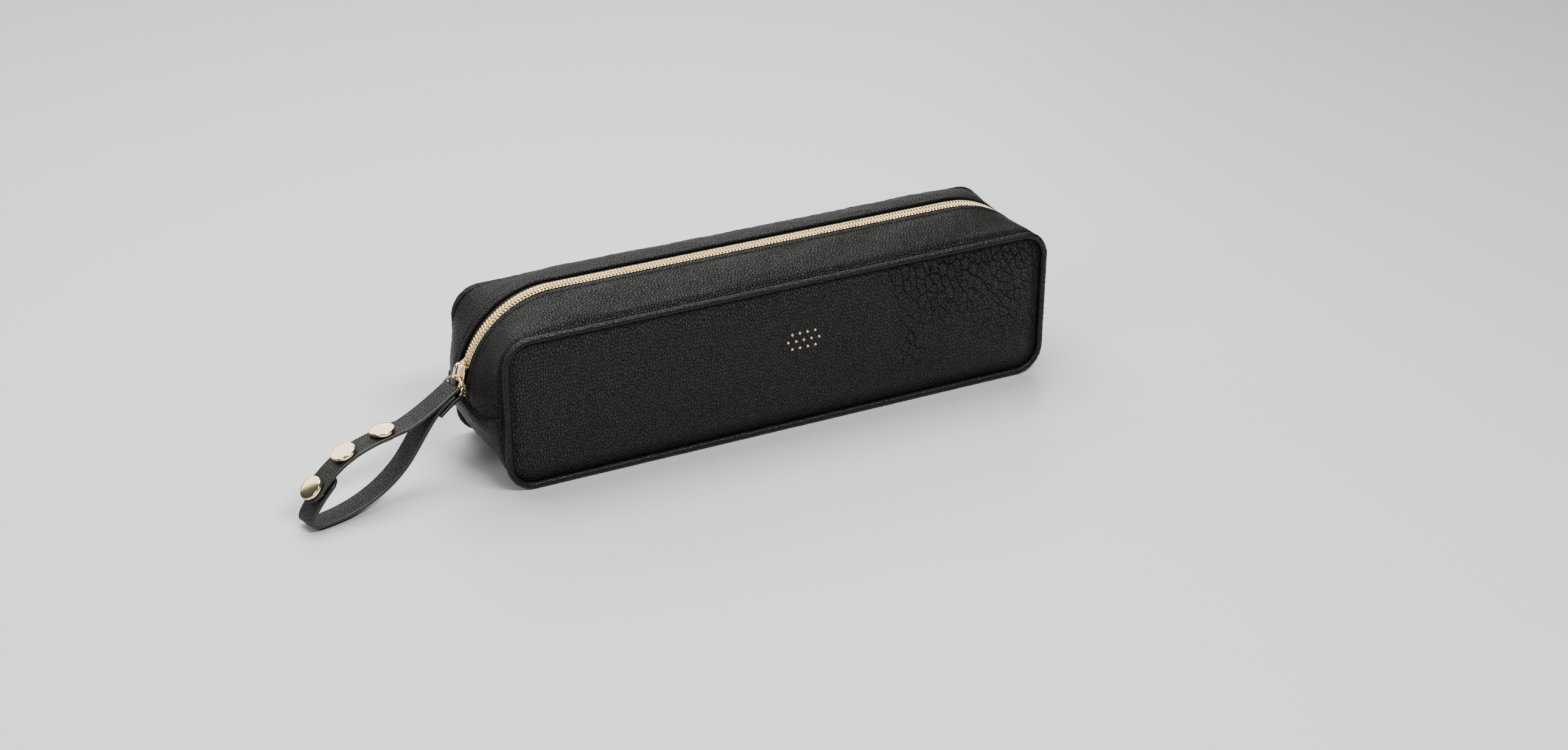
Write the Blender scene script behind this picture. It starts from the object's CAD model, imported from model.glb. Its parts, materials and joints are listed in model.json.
"""Padded leather zip case with a snap strap hanging from the zip slider.

The case stands on the floor plane with its length along X, its front towards -Y and up +Z,
centred on X = 0 and Y = 0. The slider and the strap are at the -X end. Working lengths are in
mm; mesh points become metres in make_mesh.
"""
import json
import math
from collections import namedtuple

import bpy
import bmesh
import numpy as np
from mathutils import Matrix, Vector

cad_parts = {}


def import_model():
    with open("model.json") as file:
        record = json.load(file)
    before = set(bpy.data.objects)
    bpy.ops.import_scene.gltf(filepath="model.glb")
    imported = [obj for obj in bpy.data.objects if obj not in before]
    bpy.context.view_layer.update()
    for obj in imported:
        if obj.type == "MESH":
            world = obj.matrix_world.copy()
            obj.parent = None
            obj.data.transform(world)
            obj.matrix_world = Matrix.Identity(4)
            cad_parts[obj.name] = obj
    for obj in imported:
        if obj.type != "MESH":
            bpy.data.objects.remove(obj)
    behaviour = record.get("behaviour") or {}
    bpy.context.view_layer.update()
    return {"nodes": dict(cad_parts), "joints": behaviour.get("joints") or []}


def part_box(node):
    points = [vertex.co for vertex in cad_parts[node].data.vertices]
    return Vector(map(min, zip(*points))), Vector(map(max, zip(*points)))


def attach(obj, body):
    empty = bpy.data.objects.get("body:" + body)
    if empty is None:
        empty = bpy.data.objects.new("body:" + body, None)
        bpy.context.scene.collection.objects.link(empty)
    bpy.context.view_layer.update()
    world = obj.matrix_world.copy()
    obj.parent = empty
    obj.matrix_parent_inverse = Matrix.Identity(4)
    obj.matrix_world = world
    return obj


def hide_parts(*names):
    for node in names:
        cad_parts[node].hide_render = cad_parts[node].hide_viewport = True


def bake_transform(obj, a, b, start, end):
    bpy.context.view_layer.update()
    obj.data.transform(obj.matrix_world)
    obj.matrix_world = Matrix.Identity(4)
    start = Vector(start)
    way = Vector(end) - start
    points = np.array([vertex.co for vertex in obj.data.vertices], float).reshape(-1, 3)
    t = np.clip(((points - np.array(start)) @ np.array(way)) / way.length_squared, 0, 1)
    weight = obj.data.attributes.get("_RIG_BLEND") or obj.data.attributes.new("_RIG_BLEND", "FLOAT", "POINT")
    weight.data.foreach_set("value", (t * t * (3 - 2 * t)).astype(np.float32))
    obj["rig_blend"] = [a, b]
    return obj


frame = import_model()
scene = bpy.context.scene
MM = 0.001
SIDES = (("front", -1), ("back", 1))          # name, sign of y
JOINTS = {joint["name"]: joint for joint in frame["joints"]}


def box_mm(node):
    lo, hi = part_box(node)
    return np.array(lo) * 1000, np.array(hi) * 1000


def y_span(node):
    """Distances of a piece's inner and outer faces from the middle plane."""
    lo, hi = box_mm(node)
    return sorted((abs(lo[1]), abs(hi[1])))


# ---------------------------------------------------------------- dimensions
piping_lo, piping_hi = box_mm("front_piping")
HALF_LENGTH, HEIGHT = piping_hi[0], piping_hi[2]
PIPE_R = (piping_hi[1] - piping_lo[1]) / 2
PIPE_Y = -(piping_lo[1] + piping_hi[1]) / 2
RIM_Y = PIPE_Y + 0.9                           # where the gusset surface meets the rim path
CORNER_R = 16.0                                # corners of the panels, seen from the front

MID_HALF, SEAM_Z = box_mm("lower_gusset")[1][[0, 2]]   # middle line's half length, seam height
ZIP_TOP = box_mm("front_coil_top")[1][2]
END_R = ZIP_TOP - SEAM_Z                       # arc of the middle line at each end of the zip
END_X = MID_HALF - END_R                       # centre of that arc
FLOOR_R = 42.0                                 # arc of the middle line down to the base
FLAP_X = box_mm("front_gusset_top")[1][0]      # half length of the flaps
BULGE_FRONT, BULGE_BACK = 1.7, 2.6             # exponents of the gusset's cross curve

LOW_LENGTH = FLOOR_R * math.pi / 2 + (SEAM_Z - FLOOR_R)      # middle line, base to seam
UP_LENGTH = END_R * math.pi / 2 + END_X - FLAP_X             # middle line, seam to flap
ZIP_LENGTH = 2 * UP_LENGTH + 2 * FLAP_X

PANEL_X = HALF_LENGTH - 2 * PIPE_R + 0.5       # the panels' half sizes and corner radius
PANEL_Z = HEIGHT / 2 - 2 * PIPE_R + 0.5
PANEL_CORNER = CORNER_R - 2 * PIPE_R + 0.5

SLIDER_ANGLE = math.radians(15.0)              # above the horizontal, at the zip's -X end


# ---------------------------------------------------------------- small mathematics
def smooth(start, end, x):
    """0 at start and 1 at end, eased. start may be the larger."""
    t = np.clip((np.asarray(x, float) - start) / (end - start), 0, 1)
    return t * t * (3 - 2 * t)


def unit(vectors):
    return vectors / np.linalg.norm(vectors, axis=-1, keepdims=True)


def axes(x, y, z, origin):
    matrix = np.eye(4)
    matrix[:3] = np.column_stack([x, y, z, origin])
    return matrix


def path_lengths(points):
    return np.concatenate([[0], np.cumsum(np.hypot(*np.diff(points, axis=0).T))])


class WaveField:
    """A smooth random field of about unit height: sine waves with wavelengths in mm."""

    def __init__(self, seed, wavelength, waves=14, stretch=(1.0, 1.0)):
        rng = np.random.RandomState(seed)
        k = 2 * math.pi / (wavelength * rng.uniform(0.7, 1.5, waves))
        heading = rng.uniform(0, 2 * math.pi, waves)
        self.ku = k * np.cos(heading) / stretch[0]
        self.kv = k * np.sin(heading) / stretch[1]
        self.phase = rng.uniform(0, 2 * math.pi, waves)

    def __call__(self, u, v):
        u, v = np.asarray(u, float), np.asarray(v, float)
        total = 0
        for ku, kv, phase in zip(self.ku, self.kv, self.phase):
            total = total + np.sin(ku * u + kv * v + phase)
        return total / math.sqrt(len(self.phase))


def cell_depth(u, v, size, seed, stretch=(1.0, 1.0)):
    """Random cells: 0 on a cell's edge and about 1 in its middle."""
    rng = np.random.RandomState(seed)
    jitter_a, jitter_b = rng.uniform(0.08, 0.92, (64, 64)), rng.uniform(0.08, 0.92, (64, 64))
    a, b = np.asarray(u, float) / (size * stretch[0]), np.asarray(v, float) / (size * stretch[1])
    column, row = np.floor(a).astype(int), np.floor(b).astype(int)
    nearest = np.full(a.shape, 9.0)
    second = np.full(a.shape, 9.0)
    for i in (-1, 0, 1):
        for j in (-1, 0, 1):
            ci, cj = column + i, row + j
            at = ci % 64, cj % 64
            distance = np.hypot(ci + jitter_a[at] - a, cj + jitter_b[at] - b)
            second = np.where(distance < nearest, nearest, np.minimum(second, distance))
            nearest = np.minimum(nearest, distance)
    return np.clip((second - nearest) * 1.6, 0, 1)


def pebbles(u, v, size, seed, stretch=(1.0, 1.0)):
    return cell_depth(u, v, size, seed, stretch) ** 0.6 - 0.6


def catmull(points, per_span, closed):
    """Catmull-Rom curve through the points."""
    points = np.array(points, float)
    if closed:
        ctrl = np.concatenate([points[-1:], points, points[:2]])
    else:
        before, after = 2 * points[0] - points[1], 2 * points[-1] - points[-2]
        ctrl = np.concatenate([[before], points, [after]])
    out = []
    for i in range(1, len(ctrl) - 2):
        p0, p1, p2, p3 = ctrl[i - 1:i + 3]
        for t in np.linspace(0, 1, per_span, endpoint=False):
            out.append(0.5 * ((2 * p1) + (-p0 + p2) * t
                              + (2 * p0 - 5 * p1 + 4 * p2 - p3) * t * t
                              + (-p0 + 3 * p1 - 3 * p2 + p3) * t ** 3))
    if not closed:
        out.append(ctrl[-2])
    return np.array(out)


# ---------------------------------------------------------------- mesh parts
# A part is (points in mm, faces, uv in mm).
def make_mesh(name, part, materials, material_index=None, smooth_shade=True):
    points, faces, uv = part
    mesh = bpy.data.meshes.new(name)
    mesh.from_pydata((np.asarray(points, float) * MM).tolist(), [],
                     [list(map(int, face)) for face in faces])
    layer = mesh.uv_layers.new(name="UVMap")
    loops = np.zeros(len(mesh.loops), np.int32)
    mesh.loops.foreach_get("vertex_index", loops)
    layer.data.foreach_set("uv", np.asarray(uv, np.float32)[loops].ravel())
    for material in materials:
        mesh.materials.append(material)
    if material_index is not None:
        mesh.polygons.foreach_set("material_index", np.asarray(material_index, np.int32))
    if smooth_shade:
        mesh.polygons.foreach_set("use_smooth", np.ones(len(mesh.polygons), bool))
    mesh.update()
    ob = bpy.data.objects.new(name, mesh)
    scene.collection.objects.link(ob)

    bm = bmesh.new()
    bm.from_mesh(mesh)
    bmesh.ops.recalc_face_normals(bm, faces=bm.faces)
    bm.to_mesh(mesh)
    bm.free()
    mesh.update()
    return ob


def register(ob, slot, *nodes, ride=None):
    """Tell the frame what the object replaces, its material slot and what it rides on."""
    if ride:
        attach(ob, ride)
    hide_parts(*nodes)


def vertex_coords(ob):
    coords = np.zeros(len(ob.data.vertices) * 3)
    ob.data.vertices.foreach_get("co", coords)
    return coords.reshape(-1, 3)


def set_above_floor(ob, coords):
    coords[:, 2] = np.maximum(coords[:, 2], 0)
    ob.data.vertices.foreach_set("co", coords.ravel())


def merge(parts):
    points, faces, uvs, offset = [], [], [], 0
    for part_points, part_faces, part_uv in parts:
        points.append(part_points)
        uvs.append(part_uv)
        faces += [[i + offset for i in face] for face in part_faces]
        offset += len(part_points)
    return np.concatenate(points), faces, np.concatenate(uvs)


def place(part, matrix):
    points, faces, uv = part
    return points @ matrix[:3, :3].T + matrix[:3, 3], faces, uv


def uv_grid(along, around):
    return np.stack(np.broadcast_arrays(along[:, None], around[None, :]), -1)


def tube(rings, uv_rings, closed=False):
    """Skin n rings of k points. An open tube gets a cap at each end."""
    rings = np.asarray(rings, float)
    n, k = rings.shape[:2]
    i = np.arange(n if closed else n - 1)[:, None]
    j = np.arange(k)[None, :]
    after, beside = (i + 1) % n, (j + 1) % k
    corners = [i * k + j, i * k + beside, after * k + beside, after * k + j]
    faces = np.stack(corners, -1).reshape(-1, 4).tolist()
    if not closed:
        faces.append(list(range(k))[::-1])
        faces.append([(n - 1) * k + q for q in range(k)])
    return rings.reshape(-1, 3), faces, np.asarray(uv_rings, float).reshape(-1, 2)


def lathe(profile, segments):
    """Turn (radius, height) points, from the axis back to the axis, about +Z."""
    segments = segments
    points, faces, uv, rings = [], [], [], []
    for (r, z), arc in zip(profile, path_lengths(np.array(profile, float))):
        start = len(points)
        if r < 1e-6:
            points.append((0, 0, z))
            uv.append((0, arc))
        else:
            for j in range(segments):
                angle = 2 * math.pi * j / segments
                points.append((r * math.cos(angle), r * math.sin(angle), z))
                uv.append((angle * r, arc))
        rings.append(list(range(start, len(points))))
    for a, b in zip(rings[:-1], rings[1:]):
        if len(a) == 1 and len(b) == 1:
            continue
        for j in range(segments):
            k = (j + 1) % segments
            if len(a) == 1:
                faces.append([a[0], b[k], b[j]])
            elif len(b) == 1:
                faces.append([a[j], a[k], b[0]])
            else:
                faces.append([a[j], a[k], b[k], b[j]])
    return np.array(points, float), faces, np.array(uv, float)


def turned_ring(section):
    """Turn a closed (radius, height) section that stays off the axis about +Z."""
    section = np.array(section, float)
    segments = 56
    angle = (np.arange(segments) / segments * 2 * math.pi)[:, None]
    radius = section[:, 0][None, :]
    heights = np.broadcast_to(section[:, 1][None, :], (segments, len(section)))
    rings = np.stack([radius * np.cos(angle), radius * np.sin(angle), heights], -1)
    return tube(rings, uv_grid(angle[:, 0] * 5, np.arange(len(section)) * 0.2), closed=True)


def bevelled_part(bm, width, segments):
    """Bevel every edge and return the part, with a blank uv."""
    bmesh.ops.recalc_face_normals(bm, faces=bm.faces)
    bmesh.ops.bevel(bm, geom=list(bm.edges), offset=width * MM, segments=segments,
                    profile=0.6, affect="EDGES")
    bm.verts.index_update()
    points = np.array([v.co[:] for v in bm.verts]) * 1000
    faces = [[v.index for v in face.verts] for face in bm.faces]
    bm.free()
    return points, faces, np.zeros((len(points), 2))


def bevelled_plate(outline, z0, z1, width, segments):
    bm = bmesh.new()
    face = bm.faces.new([bm.verts.new((x * MM, y * MM, z0 * MM)) for x, y in outline])
    extruded = bmesh.ops.extrude_face_region(bm, geom=[face])["geom"]
    upper = [v for v in extruded if isinstance(v, bmesh.types.BMVert)]
    bmesh.ops.translate(bm, verts=upper, vec=(0, 0, (z1 - z0) * MM))
    return bevelled_part(bm, width, segments)


def rounded_grid(half_x, half_z, radius, step):
    """A square grid with its corners pulled in to arcs, so the rim is clean."""
    nx, nz = int(2 * half_x / step), int(2 * half_z / step)
    u, v = np.meshgrid(np.linspace(-1, 1, nx + 1), np.linspace(-1, 1, nz + 1), indexing="ij")
    x, z = u * half_x, v * half_z
    centre_x, centre_z = half_x - radius, half_z - radius
    dx, dz = np.abs(x) - centre_x, np.abs(z) - centre_z
    corner = (dx > 0) & (dz > 0)
    pull = np.where(corner, np.maximum(dx, dz) / np.maximum(np.hypot(dx, dz), 1e-9), 1.0)
    x = np.where(corner, np.sign(x) * (centre_x + dx * pull), x)
    z = np.where(corner, np.sign(z) * (centre_z + dz * pull), z)
    return x, z


def slab(name, sign, x, z, first_y, second_y, material, uv_origin=(0.0, 0.0)):
    """A closed sheet between two distances from the middle plane."""
    rows, columns = x.shape
    uv = np.stack([x + uv_origin[0], z + uv_origin[1]], -1).reshape(-1, 2)
    index = np.arange(rows * columns).reshape(rows, columns)
    count = rows * columns
    quads = np.stack([index[:-1, :-1], index[1:, :-1], index[1:, 1:], index[:-1, 1:]],
                     -1).reshape(-1, 4)
    faces = quads.tolist() + (quads[:, ::-1] + count).tolist()
    rim = [*index[:-1, 0], *index[-1, :-1], *index[1:, -1][::-1], *index[0, 1:][::-1]]
    for p0, p1 in zip(rim, rim[1:] + rim[:1]):
        faces.append([p1, p0, p0 + count, p1 + count])
    points = [np.stack([x, sign * y, z + HEIGHT / 2], -1).reshape(-1, 3)
              for y in (first_y, second_y)]
    return make_mesh(name, (np.concatenate(points), faces, np.concatenate([uv, uv])), [material])


# ---------------------------------------------------------------- gusset surface
# Each half is blended between a rim path beside the panels and the middle line at y = 0.
# Paths are drawn at the -X end; the +X end is mirrored.
def cross_curve(y):
    """1 on the middle line, 0 at the rim."""
    return 1 - (np.abs(y) / RIM_Y) ** np.where(y > 0, BULGE_BACK, BULGE_FRONT)


def upper_rim(t):
    wall = HEIGHT - CORNER_R - SEAM_Z
    corner = CORNER_R * math.pi / 2
    level = HALF_LENGTH - CORNER_R - FLAP_X
    s = t * (wall + corner + level)
    angle = np.clip((s - wall) / CORNER_R, 0, math.pi / 2)
    on_wall, on_corner = s < wall, s < wall + corner
    x = np.where(on_wall, -HALF_LENGTH,
                 np.where(on_corner, -HALF_LENGTH + CORNER_R - CORNER_R * np.cos(angle),
                          -HALF_LENGTH + CORNER_R + s - wall - corner))
    z = np.where(on_wall, SEAM_Z + s,
                 np.where(on_corner, HEIGHT - CORNER_R + CORNER_R * np.sin(angle), HEIGHT))
    return x, z


def upper_middle(t):
    arc = END_R * math.pi / 2
    s = t * (arc + END_X - FLAP_X)
    angle = np.clip(s / END_R, 0, math.pi / 2)
    x = np.where(s < arc, -END_X - END_R * np.cos(angle), -END_X + s - arc)
    z = np.where(s < arc, SEAM_Z + END_R * np.sin(angle), ZIP_TOP)
    return x, z


def lower_path(t, half_length, radius):
    arc = radius * math.pi / 2
    s = t * (arc + SEAM_Z - radius)
    angle = np.clip(s / radius, 0, math.pi / 2)
    x = np.where(s < arc, -half_length + radius - radius * np.sin(angle), -half_length)
    z = np.where(s < arc, radius - radius * np.cos(angle), radius + s - arc)
    return x, z


def surface(region, t, y):
    """region: low (t 0 base to 1 seam), up (t 0 seam to 1 flap edge), top (t is x)."""
    k = cross_curve(y)
    if region == "top":
        return np.stack([t, y, HEIGHT + (ZIP_TOP - HEIGHT) * k], -1)
    if region == "up":
        (rim_x, rim_z), (mid_x, mid_z) = upper_rim(t), upper_middle(t)
    else:
        rim_x, rim_z = lower_path(t, HALF_LENGTH, CORNER_R)
        mid_x, mid_z = lower_path(t, MID_HALF, FLOOR_R)
    return np.stack([rim_x + (mid_x - rim_x) * k, y, rim_z + (mid_z - rim_z) * k], -1)


def surface_normal(region, t, y):
    if region == "top":
        t0, t1 = t - 0.3, t + 0.3
    else:
        t0, t1 = np.clip(t - 0.004, 0, 1), np.clip(t + 0.004, 0, 1)
    along = surface(region, t1, y) - surface(region, t0, y)
    across = surface(region, t, y + 0.05) - surface(region, t, y - 0.05)
    return unit(np.cross(along, across))


# One station of a strip; path is its distance along the strip in mm.
Row = namedtuple("Row", "region t mirrored path")


def zip_rows(step, under):
    """From seam to seam over the top, tucking under each seam by a fraction of the low part."""
    left = []
    if under:
        left = [Row("low", t, False, (t - 1) * LOW_LENGTH)
                for t in np.linspace(1 - under, 1, 8)[:-1]]
    spans = int(round(UP_LENGTH / step))
    left += [Row("up", t, False, t * UP_LENGTH) for t in np.linspace(0, 1, spans + 1)]
    spans = int(round(2 * FLAP_X / step))
    top = [Row("top", x, False, UP_LENGTH + x + FLAP_X)
           for x in np.linspace(-FLAP_X, FLAP_X, spans + 1)[1:-1]]
    right = [r._replace(mirrored=True, path=ZIP_LENGTH - r.path) for r in reversed(left)]
    return left + top + right


def lower_rows(step):
    """From the -X seam down, along the base and up to the +X seam."""
    base = 2 * (MID_HALF - FLOOR_R)
    ts = np.linspace(1, 0, int(round(LOW_LENGTH / step)) + 1)
    rows = [Row("low", t, False, (1 - t) * LOW_LENGTH) for t in ts]
    # the base starts where each column's curve ends, so it is spread by fraction
    rows += [Row("flat", t, False, LOW_LENGTH + t * base) for t in np.linspace(0, 1, 61)[1:-1]]
    end = 2 * LOW_LENGTH + base
    return rows + [Row("low", t, True, end - (1 - t) * LOW_LENGTH) for t in reversed(ts)]


def row_points(row, y, depth):
    """Points of one station, each sunk below the surface by its depth."""
    if row.region == "flat":
        x = surface("low", np.zeros_like(y), y)[..., 0]
        return np.stack([x + (-2 * x) * row.t, y, depth * 1.0], -1)
    t = np.full_like(y, row.t)
    points = surface(row.region, t, y) - depth[:, None] * surface_normal(row.region, t, y)
    if row.mirrored:
        points[:, 0] *= -1
    return points


def sweep_strip(name, rows, profile, material, displace):
    """Sweep a closed (y, depth) section. displace(row, y) gives a shift in y and a height."""
    y, depth = np.array(profile, float).T
    arc = path_lengths(np.array(profile, float))
    rings, uvs = [], []
    for row in rows:
        shift, height = displace(row, y)
        rings.append(row_points(row, y + shift, depth - height))
        uvs.append(np.stack([np.full_like(arc, row.path), arc], -1))
    return make_mesh(name, tube(rings, uvs), [material])


# ---------------------------------------------------------------- materials
class Shader:
    """A material's node tree, with short calls for the nodes used here."""

    def __init__(self, name):
        self.material = bpy.data.materials.new(name)
        self.material.use_nodes = True
        self.tree = self.material.node_tree
        self.surface = self.tree.nodes["Principled BSDF"]

    def feed(self, socket, value):
        if hasattr(value, "is_output"):
            self.tree.links.new(value, socket)
        else:
            socket.default_value = value

    def node(self, kind, inputs=None, **properties):
        node = self.tree.nodes.new(kind)
        for name, value in properties.items():
            setattr(node, name, value)
        for key, value in (inputs or {}).items():
            self.feed(node.inputs[key], value)
        return node

    def math(self, operation, a, b, clamp=False):
        return self.node("ShaderNodeMath", {0: a, 1: b}, operation=operation,
                         use_clamp=clamp).outputs[0]

    def centred(self, value, gain):
        """A 0 to 1 value turned into a swing about zero."""
        return self.math("MULTIPLY", self.math("SUBTRACT", value, 0.5), gain)

    def ramp(self, factor, *stops):
        """stops: (position, grey level)."""
        node = self.tree.nodes.new("ShaderNodeValToRGB")
        elements = node.color_ramp.elements
        while len(elements) < len(stops):
            elements.new(0.5)
        for element, (position, grey) in zip(elements, stops):
            element.position = position
            element.color = (grey, grey, grey, 1)
        self.feed(node.inputs[0], factor)
        return node.outputs[0]

    def mix(self, factor, a, b):
        a, b = (c if hasattr(c, "is_output") else (*c, 1) for c in (a, b))
        return self.node("ShaderNodeMix", {0: factor, 6: a, 7: b}, data_type="RGBA").outputs[2]

    def noise(self, vector, scale, detail, roughness=None, output=0):
        inputs = {"Vector": vector, "Scale": scale, "Detail": detail}
        if roughness is not None:
            inputs["Roughness"] = roughness
        return self.node("ShaderNodeTexNoise", inputs).outputs[output]

    def warped(self, vector, scale, amount):
        """The vector pushed about by a colour noise."""
        push = self.noise(vector, scale, 3.0, 0.6, output="Color")
        return self.node("ShaderNodeVectorMath", {0: push, 1: (amount,) * 3, 2: vector},
                         operation="MULTIPLY_ADD").outputs[0]

    def cell_edge(self, vector, scale):
        """Distance to the nearest edge of a fully random 2D cell pattern."""
        return self.node("ShaderNodeTexVoronoi",
                         {"Vector": vector, "Scale": scale, "Randomness": 1.0},
                         feature="DISTANCE_TO_EDGE",
                         voronoi_dimensions="2D").outputs["Distance"]

    def bump(self, height, depth, strength=1.0):
        """depth in mm."""
        return self.node("ShaderNodeBump", {"Height": height, "Distance": depth * MM,
                                            "Strength": strength}).outputs[0]

    def scaled(self, source, scale):
        return self.node("ShaderNodeMapping", {"Vector": source, "Scale": scale}).outputs[0]

    def uv(self, scale=(1, 1, 1)):
        """The UV map is in mm."""
        source = self.node("ShaderNodeUVMap", uv_map="UVMap").outputs[0]
        return self.scaled(source, scale)

    def object_coords(self):
        return self.node("ShaderNodeTexCoord").outputs["Object"]

    def finish(self, inputs):
        for name, value in inputs.items():
            self.feed(self.surface.inputs[name], value)
        return self.material


def crease_lines(sh, vector, scale, u_range, v_range):
    """Patchy net of creases that fades in over the given ranges of the UV map, in mm."""
    edge = sh.cell_edge(sh.warped(vector, scale=0.35, amount=1.6), scale)
    line = sh.ramp(edge, (0.0, 1.0), (0.035, 0.55), (0.09, 0.0))
    split = sh.node("ShaderNodeSeparateXYZ", {0: sh.uv()})
    fades = [sh.math("MULTIPLY", sh.math("SUBTRACT", split.outputs[i], start),
                     1 / (end - start), clamp=True)
             for i, (start, end) in enumerate((u_range, v_range))]
    spots = sh.noise(vector, scale=0.05, detail=2.0)
    mask = sh.math("MULTIPLY", sh.math("MULTIPLY", *fades),
                   sh.ramp(spots, (0.40, 0.0), (0.58, 1.0)))
    return sh.math("MULTIPLY", line, mask)


def leather(name, cell, depth, base=(0.0125, 0.0116, 0.0110), stretch=(1.0, 1.0),
            rough=(0.36, 0.55), valley=0.14, creases=None, coat=0.12, fine=0.12, specular=0.45):
    """Pebbled leather.

    cell and depth: pebble size and relief in mm. stretch: pebble size along u and v.
    rough: roughness on the pebbles and in the valleys. valley: how dark the valleys are.
    fine: share of fine grain in the relief.
    """
    sh = Shader(name)
    vector = sh.uv((1 / (cell * stretch[0]), 1 / (cell * stretch[1]), 1 / cell))
    warped = sh.warped(vector, scale=1.3, amount=0.75)
    edge = sh.cell_edge(warped, 1.0)
    # the valleys are wide in places and nearly closed in others
    width = sh.noise(vector, scale=0.75, detail=2.0, roughness=0.6)
    edge = sh.math("MULTIPLY", edge, sh.math("ADD", sh.math("MULTIPLY", width, 1.7), 0.35))
    pebble = sh.ramp(edge, (0.0, 0.0), (0.05, 0.30), (0.14, 0.62), (0.28, 0.86), (0.5, 1.0))
    tone = sh.ramp(edge, (0.0, 0.0), (0.05, 0.14), (0.13, 0.72), (0.25, 1.0))
    small_pebble = sh.ramp(sh.cell_edge(warped, 2.3), (0.0, 0.0), (0.12, 0.6), (0.35, 1.0))
    grain = sh.noise(vector, scale=5.5, detail=4.0, roughness=0.62)
    patch = sh.noise(vector, scale=0.07, detail=3.0, roughness=0.6)

    height = sh.math("MULTIPLY", pebble, sh.ramp(patch, (0.3, 0.55), (0.7, 1.0)))
    height = sh.math("ADD", height, sh.math("MULTIPLY", small_pebble, 0.16))
    height = sh.math("ADD", height, sh.math("MULTIPLY", grain, fine))
    if creases:
        line = crease_lines(sh, vector, **creases)
        height = sh.math("SUBTRACT", height, sh.math("MULTIPLY", line, 1.35))
    bump = sh.bump(height, depth)
    if creases:
        uncreased = sh.math("SUBTRACT", 1.0, sh.math("MULTIPLY", line, 0.9), clamp=True)
        tone = sh.math("MULTIPLY", tone, uncreased)
    colour = sh.mix(tone, tuple(c * valley for c in base), base)
    colour = sh.mix(sh.math("MULTIPLY", patch, 0.8), colour, tuple(c * 1.25 for c in base))
    roughness = sh.node("ShaderNodeMapRange",
                        {"Value": pebble, "From Min": 0.0, "From Max": 1.0,
                         "To Min": rough[1], "To Max": rough[0]}).outputs[0]
    roughness = sh.math("ADD", roughness, sh.centred(patch, 0.18))
    # the valleys between the pebbles hold almost no highlight
    shine = sh.math("ADD", sh.math("MULTIPLY", tone, 0.92), 0.08)
    return sh.finish({
        "Base Color": colour,
        "Roughness": roughness,
        "Specular IOR Level": sh.math("MULTIPLY", shine, specular),
        "Coat Weight": coat * 0.8,
        "Coat Roughness": 0.30,
        "Normal": bump,
        "Coat Normal": bump,
    })


def metal(name, base, rough, grain=0.02, smudge=0.10):
    """Polished metal. grain: relief in mm. smudge: swing of the roughness."""
    sh = Shader(name)
    vector = sh.object_coords()
    smudges = sh.noise(vector, scale=220.0, detail=4.0, roughness=0.6)
    fine = sh.noise(vector, scale=900.0, detail=3.0)
    broad = sh.noise(vector, scale=60.0, detail=2.0)
    return sh.finish({
        "Base Color": sh.mix(sh.ramp(broad, (0.35, 0.0), (0.65, 1.0)),
                             tuple(c * 0.92 for c in base), base),
        "Metallic": 1.0,
        "Roughness": sh.math("ADD", rough, sh.centred(smudges, smudge)),
        "Normal": sh.bump(fine, grain, strength=0.5),
    })


def woven(name, base, rough=0.85, sheen=0.3):
    """Twill cloth on a 0.5 mm pitch."""
    sh = Shader(name)
    pitch = 0.5
    vector = sh.uv((1 / pitch, 1 / pitch, 1 / pitch))
    turned = sh.node("ShaderNodeMapping",
                     {"Vector": vector, "Rotation": (0, 0, math.radians(45))}).outputs[0]

    def bands(source, direction, scale, distortion):
        return sh.node("ShaderNodeTexWave",
                       {"Vector": source, "Scale": scale, "Distortion": distortion,
                        "Detail": 1.0},
                       wave_type="BANDS", bands_direction=direction,
                       wave_profile="SIN").outputs["Fac"]

    diagonal = bands(turned, "X", scale=0.35, distortion=0.4)
    threads = bands(vector, "Y", scale=0.5, distortion=0.3)
    height = sh.math("ADD", sh.math("MULTIPLY", diagonal, 0.7),
                     sh.math("MULTIPLY", threads, 0.4))
    fuzz = sh.noise(vector, scale=3.0, detail=3.0)
    height = sh.math("ADD", height, sh.math("MULTIPLY", fuzz, 0.3))
    return sh.finish({
        "Normal": sh.bump(height, 0.12),
        "Base Color": sh.mix(height, tuple(c * 0.6 for c in base),
                             tuple(c * 1.3 for c in base)),
        "Roughness": rough,
        "Sheen Weight": sheen,
    })


def painted_edge(name):
    sh = Shader(name)
    wander = sh.noise(sh.uv((0.5, 2.0, 1)), scale=1.0, detail=4.0, roughness=0.55)
    return sh.finish({
        "Base Color": sh.mix(wander, (0.020, 0.019, 0.018), (0.040, 0.038, 0.037)),
        "Roughness": sh.math("ADD", 0.30, sh.math("MULTIPLY", wander, 0.16)),
        "Normal": sh.bump(wander, 0.06),
        "Coat Weight": 0.2,
        "Coat Roughness": 0.25,
    })


def fibre_board(name):
    sh = Shader(name)
    fibre = sh.noise(sh.scaled(sh.object_coords(), (1000, 1000, 1000)), scale=1.4, detail=6.0)
    return sh.finish({
        "Base Color": sh.mix(fibre, (0.25, 0.19, 0.12), (0.42, 0.33, 0.22)),
        "Roughness": 0.8,
        "Normal": sh.bump(fibre, 0.1),
    })


def foam(name):
    sh = Shader(name)
    vector = sh.scaled(sh.object_coords(), (1000, 1000, 1000))
    bubbles = sh.node("ShaderNodeTexVoronoi", {"Vector": vector, "Scale": 1.8})
    bubbles = bubbles.outputs["Distance"]
    return sh.finish({
        "Base Color": sh.mix(bubbles, (0.22, 0.22, 0.22), (0.36, 0.36, 0.36)),
        "Roughness": 0.9,
        "Normal": sh.bump(bubbles, 0.3),
    })


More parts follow.
